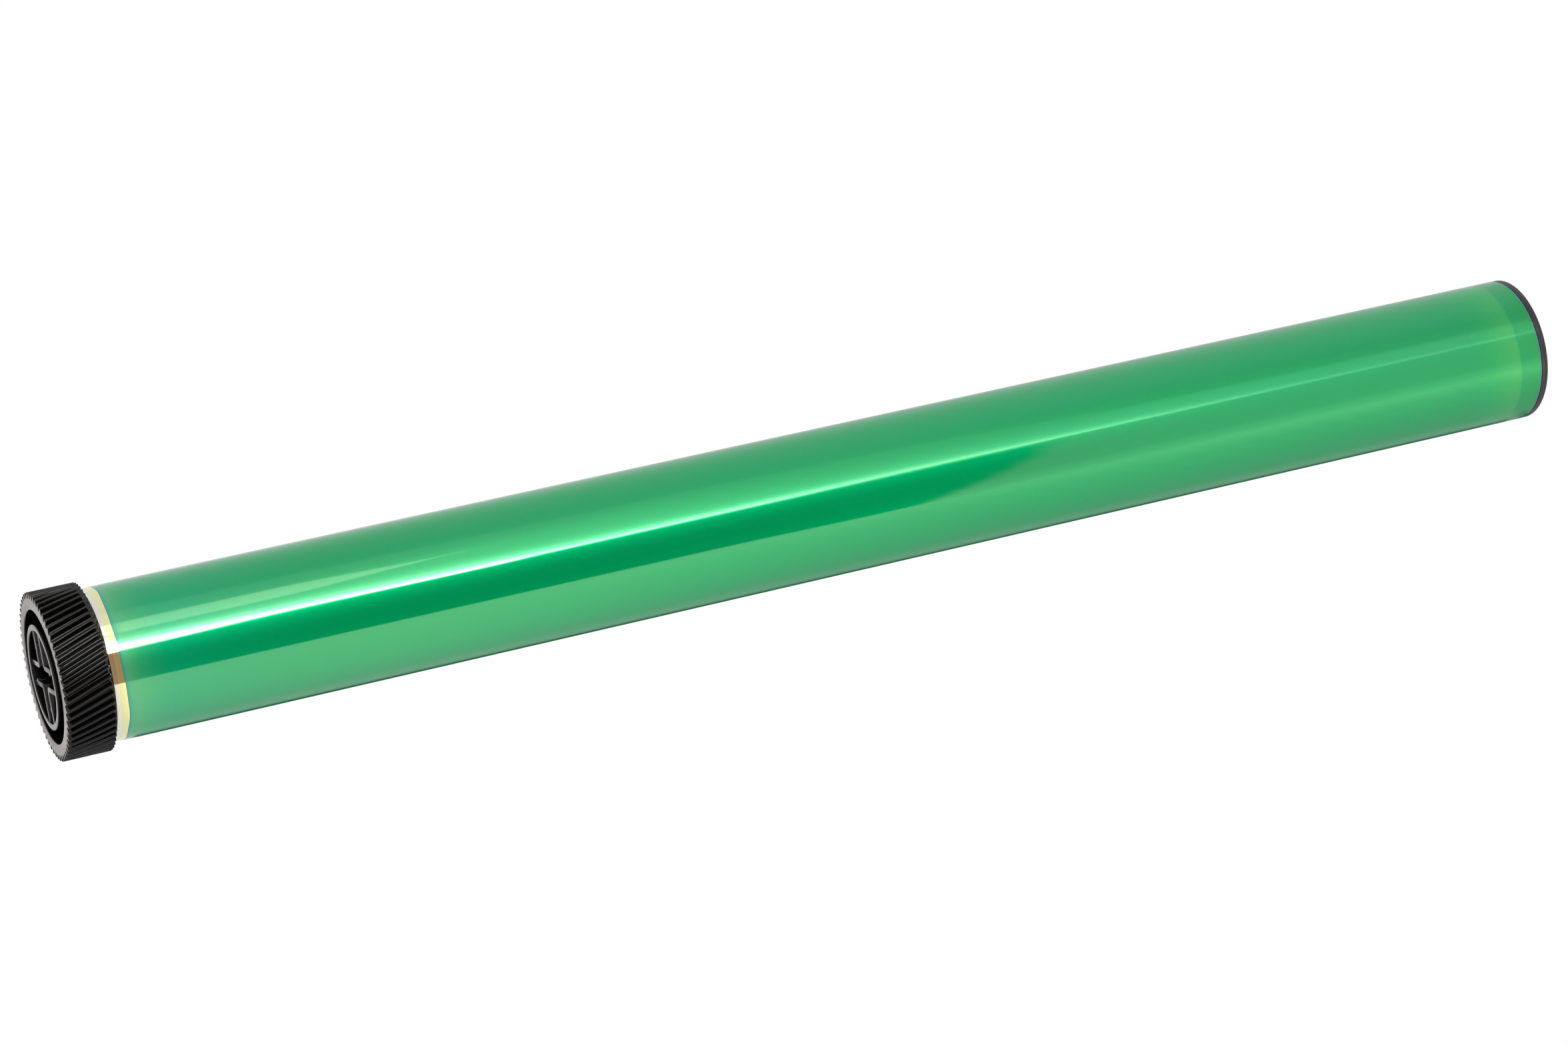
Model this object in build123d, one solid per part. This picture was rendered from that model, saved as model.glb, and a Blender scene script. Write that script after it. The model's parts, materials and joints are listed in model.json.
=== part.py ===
from build123d import *
from math import acos, atan, cos, degrees, radians, sin, tan
import os

# Photoconductor drum of a laser printer: an aluminium sleeve with its coat, a moulded helical gear flange
# with a cross-shaped drive socket at one end, and a moulded plain flange with a ground plate at the other.
# Millimetres and degrees. The drum stands on the plain flange: +Z runs along the drum's axis towards the
# gear, and the origin is the centre of the plain flange's outer face. The cross has its arms along X and Y.

# Sleeve: a drawn tube, with a coat that stops short of the gear end and shows its under-layer there
coat_radius = 15.0
coat_thickness = 0.03
under_layer_thickness = 0.015
bare_band = 1.35
under_layer_band = 1.3
sleeve_wall = 0.97
sleeve_length = 313.3
sleeve_edge_break = 0.25

# Gear: helical, left hand, full depth
gear_teeth = 60
normal_module = 0.5
helix_angle = 20.0
pressure_angle = 20.0
dedendum_in_modules = 1.25
gear_width = 9.4
tooth_thinning = 0.04
tooth_clocking = 1.8

# Body of the gear flange
recess_radius = 13.1
web_thickness = 1.8
hub_radius = 10.3
hub_wall = 1.17
hub_rise = 0.28
socket_depth = 13.4
socket_floor = 1.5
moulding_chamfer = 0.15

# Drive socket: four L-shaped walls leave a cross between them, with one crush rib in each arm
channel_width = 3.0
channel_wall = 1.05
channel_wall_drop = 0.2
channel_corner_radius = 1.3
pocket_corner_radius = 0.3
crush_rib_radius = 0.6
crush_rib_height = 0.45
crush_rib_place = 6.1

# Spigots that hold the two flanges in the sleeve
spigot_length = 8.0
spigot_wall = 1.55
spigot_clearance = 0.05
spigot_lead_in = 0.4

# Plain end flange
end_rim_step = 0.05
end_rim_thickness = 1.4
end_rim_chamfer = 0.1
shaft_radius = 4.0
shaft_clearance = 0.03
boss_wall = 1.6
boss_chamfer = 0.3
dish_depth = 2.4
end_web_thickness = 1.5
stiffener_width = 1.2
post_radius = 1.8
stake_place = 9.0
stake_radius = 0.8
stake_head_radius = 1.4
stake_head_height = 0.5

# Ground plate: thin spring sheet, staked to the end flange, that touches the sleeve and the shaft
sheet_thickness = 0.3
sheet_inner_radius = 6.3
sheet_outer_radius = 11.5
stake_hole_clearance = 0.1
prong_place = 45.0
prong_width = 3.0
prong_rise_angle = 55.0
prong_clearance = 0.02
tongue_place = 90.0
tongue_width = 2.2
tongue_rise_angle = 50.0
tongue_clearance = 0.05

# Values that follow from the sizes above
bare_radius = coat_radius - coat_thickness
bore_radius = bare_radius - sleeve_wall
sleeve_bottom = end_rim_thickness
sleeve_top = sleeve_bottom + sleeve_length
gear_face = sleeve_top + gear_width
hub_top = gear_face + hub_rise
web_top = sleeve_top + web_thickness
socket_bottom = gear_face - socket_depth
hub_inner_radius = hub_radius - hub_wall
hub_middle_radius = hub_radius - hub_wall / 2
spigot_radius = bore_radius - spigot_clearance
spigot_inner_radius = spigot_radius - spigot_wall
end_rim_radius = coat_radius - end_rim_step
end_spigot_top = sleeve_bottom + spigot_length
end_web_top = dish_depth + end_web_thickness
shaft_bore_radius = shaft_radius + shaft_clearance
boss_radius = shaft_bore_radius + boss_wall
sheet_top = end_spigot_top + sheet_thickness
quarter_turns = (0, 90, 180, 270)
half_turns = (0, 180)

# Helical gear geometry in the plane square to the axis
transverse_module = normal_module / cos(radians(helix_angle))
transverse_pressure_angle = atan(tan(radians(pressure_angle)) / cos(radians(helix_angle)))
pitch_radius = gear_teeth * transverse_module / 2
base_radius = pitch_radius * cos(transverse_pressure_angle)
tip_radius = pitch_radius + normal_module
root_radius = pitch_radius - dedendum_in_modules * normal_module
tooth_step = 360 / gear_teeth
gear_twist = degrees(gear_width * tan(radians(helix_angle)) / pitch_radius)


def polar(radius, angle):
    """Point of a circle about the axis, by its angle from +X in degrees."""
    return (radius * cos(radians(angle)), radius * sin(radians(angle)))


def turned(*corners):
    """Body of revolution about the axis, from (radius, height) corners."""
    outline = Polyline(*[(radius, 0, height) for radius, height in corners], close=True)
    return revolve(make_face(outline), Axis.Z)


def raised(sketch, bottom, top):
    """A flat outline made solid between two heights."""
    return extrude(Pos(0, 0, bottom) * sketch, top - bottom)


def turned_copies(piece, angles):
    """One body from copies of a piece, turned about the axis."""
    return Part() + [Rot(0, 0, angle) * piece for angle in angles]


def drum_tube():
    """Sleeve with bare metal at the gear end, a band of under-layer, then the coat to the far end."""
    under_layer_top = sleeve_top - bare_band
    coat_top = under_layer_top - under_layer_band
    under_layer_radius = bare_radius + under_layer_thickness
    return turned(
        (bore_radius, sleeve_bottom + sleeve_edge_break),
        (bore_radius + sleeve_edge_break, sleeve_bottom),
        (coat_radius - sleeve_edge_break, sleeve_bottom),
        (coat_radius, sleeve_bottom + sleeve_edge_break),
        (coat_radius, coat_top),
        (under_layer_radius, coat_top),
        (under_layer_radius, under_layer_top),
        (bare_radius, under_layer_top),
        (bare_radius, sleeve_top - sleeve_edge_break),
        (bare_radius - sleeve_edge_break, sleeve_top),
        (bore_radius + sleeve_edge_break, sleeve_top),
        (bore_radius, sleeve_top - sleeve_edge_break),
    )


def involute_angle(radius):
    """Polar angle, in degrees, from the start of an involute to its point at a radius."""
    pressure = acos(base_radius / radius)
    return degrees(tan(pressure) - pressure)


def half_tooth_angle(radius):
    """Half the angle that one tooth fills at a radius."""
    at_pitch = tooth_step / 4 - degrees(tooth_thinning / 2 / pitch_radius)
    return at_pitch + involute_angle(pitch_radius) - involute_angle(radius)


def tooth_corners(centre):
    """Corners of one tooth. At this module the chord of a flank lies within 0.03 mm of its involute."""
    root, tip = half_tooth_angle(root_radius), half_tooth_angle(tip_radius)
    return [
        polar(root_radius, centre - root),
        polar(tip_radius, centre - tip),
        polar(tip_radius, centre + tip),
        polar(root_radius, centre + root),
    ]


def gear_blank():
    """Solid disc with the helical teeth, turned clockwise on its way up for a left-hand gear."""
    corners = []
    for tooth in range(gear_teeth):
        corners += tooth_corners(tooth_clocking + tooth * tooth_step)
    outline = Pos(0, 0, sleeve_top) * make_face(Polyline(*corners, close=True))
    return Part() + Solid.extrude_linear_with_rotation(
        outline.face(), (0, 0, sleeve_top), (0, 0, gear_width), -gear_twist
    )


def room_inside_ring():
    """Recess down to the web, with a chamfered mouth, and a hole through the web where the hub goes."""
    return turned(
        (0, sleeve_top),
        (hub_middle_radius, sleeve_top),
        (hub_middle_radius, web_top),
        (recess_radius, web_top),
        (recess_radius, gear_face - moulding_chamfer),
        (recess_radius + moulding_chamfer, gear_face),
        (recess_radius + moulding_chamfer, hub_top),
        (0, hub_top),
    )


def gear_spigot():
    """Collar of the gear flange that is glued into the sleeve."""
    collar_bottom = sleeve_top - spigot_length
    return turned(
        (spigot_inner_radius, collar_bottom),
        (spigot_radius - spigot_lead_in, collar_bottom),
        (spigot_radius, collar_bottom + spigot_lead_in),
        (spigot_radius, sleeve_top),
        (spigot_inner_radius, sleeve_top),
    )


def hub_cup():
    """Round cup that holds the drive socket, a little proud of the gear's face."""
    return turned(
        (0, socket_bottom - socket_floor),
        (hub_radius, socket_bottom - socket_floor),
        (hub_radius, hub_top - moulding_chamfer),
        (hub_radius - moulding_chamfer, hub_top),
        (hub_inner_radius + moulding_chamfer, hub_top),
        (hub_inner_radius, hub_top - moulding_chamfer),
        (hub_inner_radius, socket_bottom),
        (0, socket_bottom),
    )


def rounded_quadrant(inset, corner_radius):
    """Square past the whole cup, an inset away from both arms' centre lines, with its corner rounded."""
    past_cup = 2 * hub_radius
    square = RectangleRounded(past_cup, past_cup, corner_radius)
    return Pos(inset + past_cup / 2, inset + past_cup / 2) * square


def socket_walls():
    """Four L-shaped walls from the cup's floor and a crush rib in each arm of the cross between them."""
    channel_side = rounded_quadrant(channel_width / 2, channel_corner_radius)
    pocket_side = rounded_quadrant(channel_width / 2 + channel_wall, pocket_corner_radius)
    corner = (channel_side - pocket_side) & Circle(hub_middle_radius)
    rib_centre = channel_width / 2 + crush_rib_radius - crush_rib_height
    rib = Pos(crush_rib_place, rib_centre) * Circle(crush_rib_radius)
    return turned_copies(raised(corner + rib, socket_bottom, hub_top - channel_wall_drop), quarter_turns)


def drive_gear_flange():
    """One moulding: gear ring, web, spigot and the hub with its drive socket."""
    return gear_blank() - room_inside_ring() + gear_spigot() + hub_cup() + socket_walls()


def end_flange_body():
    """Rim, spigot, dished web and shaft boss in one turning."""
    return turned(
        (shaft_bore_radius, boss_chamfer),
        (shaft_bore_radius + boss_chamfer, 0),
        (boss_radius, 0),
        (boss_radius, dish_depth),
        (spigot_inner_radius, dish_depth),
        (spigot_inner_radius, 0),
        (end_rim_radius - end_rim_chamfer, 0),
        (end_rim_radius, end_rim_chamfer),
        (end_rim_radius, sleeve_bottom),
        (spigot_radius, sleeve_bottom),
        (spigot_radius, end_spigot_top - spigot_lead_in),
        (spigot_radius - spigot_lead_in, end_spigot_top),
        (spigot_inner_radius, end_spigot_top),
        (spigot_inner_radius, end_web_top),
        (boss_radius, end_web_top),
        (boss_radius, end_spigot_top),
        (shaft_bore_radius + boss_chamfer, end_spigot_top),
        (shaft_bore_radius, end_spigot_top - boss_chamfer),
    )


def stiffeners():
    """Radial ribs on the inner side, from the boss to the spigot, which carry the ground plate."""
    inner = boss_radius - boss_wall / 2
    outer = spigot_inner_radius + spigot_wall / 2
    rib = Pos((inner + outer) / 2, 0) * Rectangle(outer - inner, stiffener_width)
    return turned_copies(raised(rib, end_web_top, end_spigot_top), quarter_turns)


def staked_post():
    """Post on a rib, with the stake that goes through the ground plate and its melted head."""
    post = raised(Circle(post_radius), end_web_top, end_spigot_top)
    stake = raised(Circle(stake_radius), end_spigot_top, sheet_top)
    head_top = sheet_top + stake_head_height
    head = turned(
        (0, sheet_top),
        (stake_head_radius, sheet_top),
        (stake_head_radius, sheet_top + stake_head_height / 2),
        (stake_radius, head_top),
        (0, head_top),
    )
    return Pos(stake_place, 0) * (post + stake + head)


def end_flange():
    """One moulding: the plain flange with its ribs and staked posts."""
    return end_flange_body() + stiffeners() + turned_copies(staked_post(), half_turns)


def bent_strip(root, bend, tip, rise_angle, width):
    """Strip of the sheet that runs flat from a root radius to a bend, then rises to a tip radius."""
    outward = 1 if tip > bend else -1
    rise = abs(tip - bend) * tan(radians(rise_angle))
    slant = outward * sheet_thickness / sin(radians(rise_angle))
    inside_bend = outward * sheet_thickness * tan(radians(rise_angle / 2))
    side = Polyline(
        (root, 0, end_spigot_top),
        (bend, 0, end_spigot_top),
        (tip, 0, end_spigot_top + rise),
        (tip - slant, 0, end_spigot_top + rise),
        (bend - inside_bend, 0, sheet_top),
        (root, 0, sheet_top),
        close=True,
    )
    return extrude(make_face(side), width / 2, dir=(0, 1, 0), both=True)


def ground_contact_plate():
    """Stamped ring with prongs that spring against the sleeve's bore and tongues that meet the shaft."""
    middle_radius = (sheet_inner_radius + sheet_outer_radius) / 2
    contact_radius = bore_radius - prong_clearance
    tongue_tip = shaft_radius + tongue_clearance
    stamping = Circle(sheet_outer_radius) - Circle(sheet_inner_radius)
    for angle in half_turns:
        stamping -= Pos(*polar(stake_place, angle)) * Circle(stake_radius + stake_hole_clearance)
    prong = bent_strip(middle_radius, sheet_outer_radius, contact_radius, prong_rise_angle, prong_width)
    prong &= raised(Circle(contact_radius), end_spigot_top, sleeve_top)
    tongue = bent_strip(middle_radius, sheet_inner_radius, tongue_tip, tongue_rise_angle, tongue_width)
    prongs = turned_copies(Rot(0, 0, prong_place) * prong, quarter_turns)
    tongues = turned_copies(Rot(0, 0, tongue_place) * tongue, half_turns)
    return raised(stamping, end_spigot_top, sheet_top) + prongs + tongues


nodes = {
    "drum_tube": drum_tube(),
    "drive_gear_flange": drive_gear_flange(),
    "end_flange": end_flange(),
    "ground_contact_plate": ground_contact_plate(),
}

os.makedirs("parts", exist_ok=True)
for name, node in nodes.items():
    export_step(node, f"parts/{name}.step")
    print(name, round(node.volume, 2), "cubic mm", len(node.solids()), "solid")
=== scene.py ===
# %% [markdown]
# # A photoconductor drum from a laser printer
#
# The part is a drawn aluminium sleeve with a glossy green light-sensitive coat. A black moulded gear with a
# cross-shaped drive socket closes one end, and a thin charcoal flange closes the other. The engineering model
# is already there, with every size. This lesson dresses it. It builds finer meshes where a camera comes
# close, gives each surface the finish of the real material, and lights it as a studio would.
#
# The frame is the engineering model itself. The drum stands on its plain flange, +Z runs up its axis to the
# gear, and the origin is in the middle of the face that it stands on.

# %% Load the frame
import json
from math import acos, atan, atan2, cos, degrees, pi, radians, sin, sqrt, tan

import bpy
import numpy as np
from mathutils import Matrix, Vector

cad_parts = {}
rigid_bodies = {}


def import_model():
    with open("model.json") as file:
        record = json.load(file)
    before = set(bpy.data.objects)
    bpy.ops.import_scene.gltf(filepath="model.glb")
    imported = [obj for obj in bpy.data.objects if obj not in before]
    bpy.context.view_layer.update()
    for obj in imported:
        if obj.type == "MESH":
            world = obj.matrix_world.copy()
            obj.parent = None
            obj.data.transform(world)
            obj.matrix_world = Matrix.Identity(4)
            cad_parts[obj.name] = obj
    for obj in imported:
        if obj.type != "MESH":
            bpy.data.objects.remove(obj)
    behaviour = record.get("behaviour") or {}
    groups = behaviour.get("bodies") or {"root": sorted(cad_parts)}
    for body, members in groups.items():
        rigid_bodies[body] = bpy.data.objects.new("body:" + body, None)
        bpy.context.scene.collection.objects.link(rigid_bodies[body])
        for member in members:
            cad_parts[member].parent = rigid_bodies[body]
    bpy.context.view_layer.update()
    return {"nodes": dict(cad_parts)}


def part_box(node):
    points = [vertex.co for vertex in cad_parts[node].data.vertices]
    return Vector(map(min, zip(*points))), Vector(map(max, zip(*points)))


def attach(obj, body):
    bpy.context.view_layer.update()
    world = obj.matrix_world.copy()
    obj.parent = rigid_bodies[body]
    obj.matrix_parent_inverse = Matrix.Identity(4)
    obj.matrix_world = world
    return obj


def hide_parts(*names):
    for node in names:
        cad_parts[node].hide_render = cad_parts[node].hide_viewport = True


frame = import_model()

MM = 0.001

# %% Read the sizes that the looks have to keep
sleeve_low, sleeve_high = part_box("drum_tube")
gear_low, gear_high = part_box("drive_gear_flange")
coat_radius = sleeve_high.x / MM
sleeve_bottom = sleeve_low.z / MM
sleeve_top = sleeve_high.z / MM
gear_tip_radius = gear_high.x / MM
gear_bottom = gear_low.z / MM
hub_top = gear_high.z / MM
print("sleeve", round(coat_radius, 2), "mm radius, from", round(sleeve_bottom, 2), "to", round(sleeve_top, 2))

# %% [markdown]
# ## Camera
#
# A camera can be matched to a photograph by eye, or by fitting it to points whose real places are known. Here
# the outline of the sleeve and the circles of the gear gave those points, so the place, the aim and the lens
# below come from a fit. The drum stands in this frame but lies across the picture, so the camera is rolled
# about its line of sight by a bit more than a right angle.

# %% Place the camera
camera_place = Vector((836.517, 158.693, 487.967)) * MM
camera_aim = Vector((0.408, -2.122, 171.080)) * MM
camera_roll = radians(102.680)
lens_mm = 103.5016
sensor_mm = 36.0

forward = (camera_aim - camera_place).normalized()
level = forward.cross(Vector((0, 0, 1))).normalized()
upright = level.cross(forward)
camera_up = cos(camera_roll) * upright + sin(camera_roll) * level
camera_right = forward.cross(camera_up)

camera_data = bpy.data.cameras.new("photo_camera")
camera_data.lens = lens_mm
camera_data.sensor_width = sensor_mm
camera = bpy.data.objects.new("photo_camera", camera_data)
bpy.context.scene.collection.objects.link(camera)
camera.matrix_world = Matrix.LocRotScale(
    camera_place, Matrix((camera_right, camera_up, -forward)).transposed(), None
)
bpy.context.scene.camera = camera
bpy.context.scene.view_settings.view_transform = "Standard"
print("camera", round((camera_aim - camera_place).length / MM), "mm from the middle of the drum")

# %% [markdown]
# ## Colours and nodes
#
# Blender works in linear light, and colours are usually written as sRGB, so one function turns the second
# into the first. Another one adds a node with its settings and links. With it a material reads as a list of
# what feeds what. Two more make the groups of nodes that several materials share.

# %% Turn written colours into light
def colour(code):
    """Linear RGBA from an sRGB hex code such as 00A05D."""
    parts = [int(code[i:i + 2], 16) / 255 for i in (0, 2, 4)]
    return [p / 12.92 if p <= 0.04045 else ((p + 0.055) / 1.055) ** 2.4 for p in parts] + [1.0]


# %% Add a node
def add(tree, kind, inputs=None, **settings):
    """A new node. Its inputs take values, or the outputs of other nodes."""
    node = tree.nodes.new(kind)
    for name, value in settings.items():
        setattr(node, name, value)
    for name, value in (inputs or {}).items():
        if isinstance(value, bpy.types.NodeSocket):
            tree.links.new(value, node.inputs[name])
        else:
            node.inputs[name].default_value = value
    return node


# %% Start a material
def new_material(name):
    """A material and its empty node tree."""
    material = bpy.data.materials.new(name)
    material.use_nodes = True
    material.node_tree.nodes.clear()
    return material, material.node_tree


# %% Measure patterns in millimetres
def object_mm(tree):
    """The place on the object in mm, so that a pattern keeps its real size."""
    place = add(tree, "ShaderNodeTexCoord")
    in_mm = add(tree, "ShaderNodeVectorMath", {0: place.outputs["Object"], "Scale": 1 / MM},
                operation="SCALE")
    return in_mm.outputs["Vector"]


# %% Tell seeing rays from lighting rays
def seen_directly(tree):
    """1 for a ray from the camera, a mirror or clear material, and 0 for light on a dull surface."""
    path = add(tree, "ShaderNodeLightPath")
    seen = add(tree, "ShaderNodeMath", {0: path.outputs["Is Camera Ray"], 1: path.outputs["Is Glossy Ray"]},
               operation="MAXIMUM")
    seen = add(tree, "ShaderNodeMath", {0: seen.outputs[0], 1: path.outputs["Is Transmission Ray"]},
               operation="MAXIMUM")
    return seen.outputs[0]


# %% Make a mesh object from millimetres
def mesh_object(name, points, faces):
    """An object with its points given in millimetres."""
    mesh = bpy.data.meshes.new(name)
    mesh.from_pydata((np.array(points, float) * MM).tolist(), [], faces)
    mesh.update()
    made = bpy.data.objects.new(name, mesh)
    bpy.context.scene.collection.objects.link(made)
    return made


# %% [markdown]
# ## Floor and world
#
# The drum stands on a pure white table. A white floor that is lit until it burns out also burns out the
# object. It is better to let the world and the floor shine by themselves for the rays that come from the
# camera or from a mirror. The floor's glow stays a little under white, and a share of ordinary white paint
# brings it up to white and keeps the soft shadow round the foot of the drum. The world keeps the pale grey
# that a new Background node has. A camera close to the table would see it past the edge of the floor.

# %% Pale world
ambient_strength, seen_strength = 0.62, 1.0
world = bpy.data.worlds.new("white_studio")
world.use_nodes = True
bpy.context.scene.world = world
tree = world.node_tree
tree.nodes.clear()
strength = add(tree, "ShaderNodeMapRange",
               {"Value": seen_directly(tree), "To Min": ambient_strength, "To Max": seen_strength})
light = add(tree, "ShaderNodeBackground", {"Strength": strength.outputs["Result"]})
add(tree, "ShaderNodeOutputWorld", {"Surface": light.outputs["Background"]})
print("world: strength", seen_strength, "where it is seen and", ambient_strength, "as light")

# %% White floor
floor_half = 40000
glow_share, glow_strength = 0.9, 1.06
floor = mesh_object(
    "table",
    [(-floor_half, -floor_half, 0), (floor_half, -floor_half, 0),
     (floor_half, floor_half, 0), (-floor_half, floor_half, 0)],
    [(0, 1, 2, 3)],
)
floor_material, tree = new_material("white_table_paint")
share = add(tree, "ShaderNodeMath", {0: seen_directly(tree), 1: glow_share}, operation="MULTIPLY")
paint = add(tree, "ShaderNodeBsdfDiffuse", {"Color": colour("F4F4F4")})
glow = add(tree, "ShaderNodeEmission", {"Strength": glow_strength})
mixed = add(tree, "ShaderNodeMixShader",
            {"Fac": share.outputs[0], 1: paint.outputs["BSDF"], 2: glow.outputs["Emission"]})
add(tree, "ShaderNodeOutputMaterial", {"Surface": mixed.outputs["Shader"]})
floor.data.materials.append(floor_material)
print("floor:", 2 * floor_half / 1000, "m wide, glow", round(glow_share * glow_strength, 3))

# %% [markdown]
# ## What the coat mirrors
#
# The coat is as smooth as lacquer, so half of its looks are a picture of the room. The photographer's room
# can be built from cards and lamps, but from this camera every ray that the upright tube mirrors runs down to
# the table. One flat ring on the table can therefore hold the whole room as patches of light, and only
# reflections see it.
#
# Two numbers place a patch: the direction that the tube mirrors it from, and its distance. What lies close by
# is mirrored near the foot of the drum, and what lies a metre and a half away is mirrored next to the gear.
# The ring holds a dark gap, a long strip lamp at the edge of the gap, a window, and white cards that fade to
# both sides. The two bare bands mirror a part further out, which is evenly lit apart from the gap, and the
# gap shows brown there. The values were set step by step, until the brightness measured along lines on the
# tube came close to the photograph.

# %% Describe the dark gap, in degrees and mm
# The gap lies between two directions and begins at a curved near edge. The first of the two directions
# changes between two distances. The brown is the gap's own light, and little of it shows in the coat.
dark_from_corner, dark_from, dark_to = -25.8, -23.2, 27.2
shift_near, shift_far = 400, 540
dark_near, dark_far_corner = 277.0, 372.0
dark_side_blur, dark_near_blur = 0.8, 12
gap_brown, gap_near_share = np.array((0.45, 0.29, 0.165)), 0.058

# %% Describe the strip lamp
# Each row has a distance in mm, the lower edge, the upper edge and the fade in degrees, and the radiance. The
# lamp gets narrower and dimmer towards the foot of the drum.
lamp_rise_before, lamp_rise_after = 0.4, 1.4
lamp_rows = np.array((
    (60, 28.1, 30.6, 1.4, 0.85), (130, 28.1, 30.5, 1.6, 1.45), (230, 28.5, 30.4, 2.7, 3.2),
    (355, 29.3, 30.4, 3.4, 6.6), (517, 28.1, 30.1, 2.9, 11.3), (745, 27.2, 29.6, 3.4, 15.2),
    (790, 26.3, 29.2, 3.5, 24.0), (870, 26.3, 28.8, 3.8, 26.0), (1100, 26.9, 30.3, 4.2, 23.0),
    (1200, 26.4, 31.2, 4.2, 22.5), (1300, 24.9, 32.0, 4.0, 22.0), (1410, 23.9, 32.5, 4.0, 21.0),
    (1500, 23.6, 32.5, 2.8, 21.0)))

# %% Describe the window, in degrees and mm
# Its tip lies at window_near, and from window_full on it has its full width.
window_azimuth, window_half_width, window_near, window_full = 58.5, 8.0, 805.0, 1150.0
window_radiance = 2.9
window_blur_inside, window_blur_outside = 1.5, 1.0

# %% Describe the cards, by direction
# A card adds a little light from seam_from up to its own edge, the seam. Each row has a distance in mm and
# the direction of the seam.
seam_from, seam_radiance, seam_blur = 30.0, 0.25, 2
seam_rows = ((128, 51), (230, 56), (356, 70), (517, 77), (1500, 88))

# Each stop is a direction in degrees and a radiance. The near stops hold up to near_end, the far ones from
# far_start on, and between the two distances the light goes smoothly from one to the other.
near_end, far_start = 100.0, 1100.0
far_cards = ((-180, 0.86), (-171, 0.3), (-162, 0.02), (-149, 0.02), (-143, 0.28), (-135, 0.66), (-129, 0.78),
             (-109, 0.98), (-70, 1.85), (-33, 2.3), (-21, 2.4), (30, 2.4), (52, 1.8), (72, 1.05), (90, 0.75),
             (125, 0.84), (150, 0.95), (162, 0.9), (180, 0.86))
near_cards = ((-180, 0.7), (-171, 0.3), (-162, 0.02), (-149, 0.04), (-143, 0.26), (-133, 0.56), (-121, 0.64),
              (-109, 0.64), (-70, 0.95), (-45, 1.3), (-33, 1.75), (-28, 1.95), (-22, 1.6), (-10, 1.1),
              (30, 1.1), (45, 1.0), (55, 0.75), (67, 0.68), (80, 0.75), (91, 0.83), (125, 0.84), (150, 0.82),
              (162, 0.72), (180, 0.7))

# %% Describe the outer part of the ring
# From even_from on lies what the bare bands mirror, and the cards are evenly bright. From room_end on lies
# what the teeth mirror, and only a share of the light is left.
even_from, even_blur, even_level = 1482.0, 10, 0.9
room_end, room_end_blur = 1560.0, 30
beyond_share, lamp_beyond_share = 0.19, 0.75

# The cards are neutral where the warmth is 0, and as yellow as warm_white where it is 1.
warm_azimuths = ((-180, 0), (-110, 0), (-75, 0.5), (-40, 1), (26, 1), (30, 0.35), (46, 0.6), (62, 1),
                 (72, 0.3), (85, 0), (180, 0))
warm_white = np.array((1.0, 0.98, 0.8))


# %% Light of the lamp at a direction and distance
def smooth(low, high, value):
    """0 below low, 1 above high, and a smooth rise between them."""
    t = np.clip((value - low) / (high - low), 0, 1)
    return t * t * (3 - 2 * t)


def lamp_light(azimuth, distance):
    """The long strip lamp: a sharp lower edge, full up to its upper edge, then fading."""
    reach = lamp_rows[:, 0]
    low_edge, high_edge, fade, level = (np.interp(distance, reach, lamp_rows[:, k]) for k in (1, 2, 3, 4))
    fading = np.exp(-np.clip(azimuth - high_edge, 0, None) / fade)
    return level * fading * smooth(low_edge - lamp_rise_before, low_edge + lamp_rise_after, azimuth)


# %% Light of the cards and the window
def card_light(azimuth, distance):
    """Radiance of the cards and the window, by azimuth in degrees and distance in mm."""
    near = np.interp(azimuth, *zip(*near_cards))
    far = np.interp(azimuth, *zip(*far_cards))
    value = near + (far - near) * smooth(near_end, far_start, distance)
    seam = np.interp(distance, *zip(*seam_rows))
    value = value + seam_radiance * (azimuth > seam_from) * (1 - smooth(seam - seam_blur, seam, azimuth))
    open_by = window_half_width * smooth(window_near, window_full, distance)
    in_window = 1 - smooth(open_by - window_blur_inside, open_by + window_blur_outside,
                           abs(azimuth - window_azimuth))
    return value + window_radiance * in_window * (distance > window_near)


# %% Share of the dark gap
def gap_share(azimuth, distance):
    """1 in the dark gap and 0 outside."""
    low = dark_from_corner + (dark_from - dark_from_corner) * smooth(shift_near, shift_far, distance)
    across = (azimuth - low) / (dark_to - low)
    edge = dark_near + (dark_far_corner - dark_near) * (1 - np.clip(across, 0, 1)) ** 2
    past_low = smooth(low, low + dark_side_blur, azimuth)
    past_high = smooth(dark_to - dark_side_blur, dark_to, azimuth)
    past_near = smooth(edge - dark_near_blur, edge + dark_near_blur, distance)
    return past_low * (1 - past_high) * past_near


# %% Light of the whole room
def mirrored_light(azimuth, distance):
    """Radiance of the room and strength of the brown gap, by azimuth in degrees and distance in mm."""
    in_dark = gap_share(azimuth, distance)
    at_end = smooth(even_from, even_from + even_blur, distance)
    beyond = smooth(room_end, room_end + room_end_blur, distance)
    cards = card_light(azimuth, distance)
    cards = cards + (even_level - cards) * at_end
    cards = cards * (1 - in_dark) * (1 - (1 - beyond_share) * beyond)
    lamp = lamp_light(azimuth, distance) * (1 - (1 - lamp_beyond_share) * beyond)
    return cards + lamp, in_dark * (gap_near_share + (1 - gap_near_share) * at_end)


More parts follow.
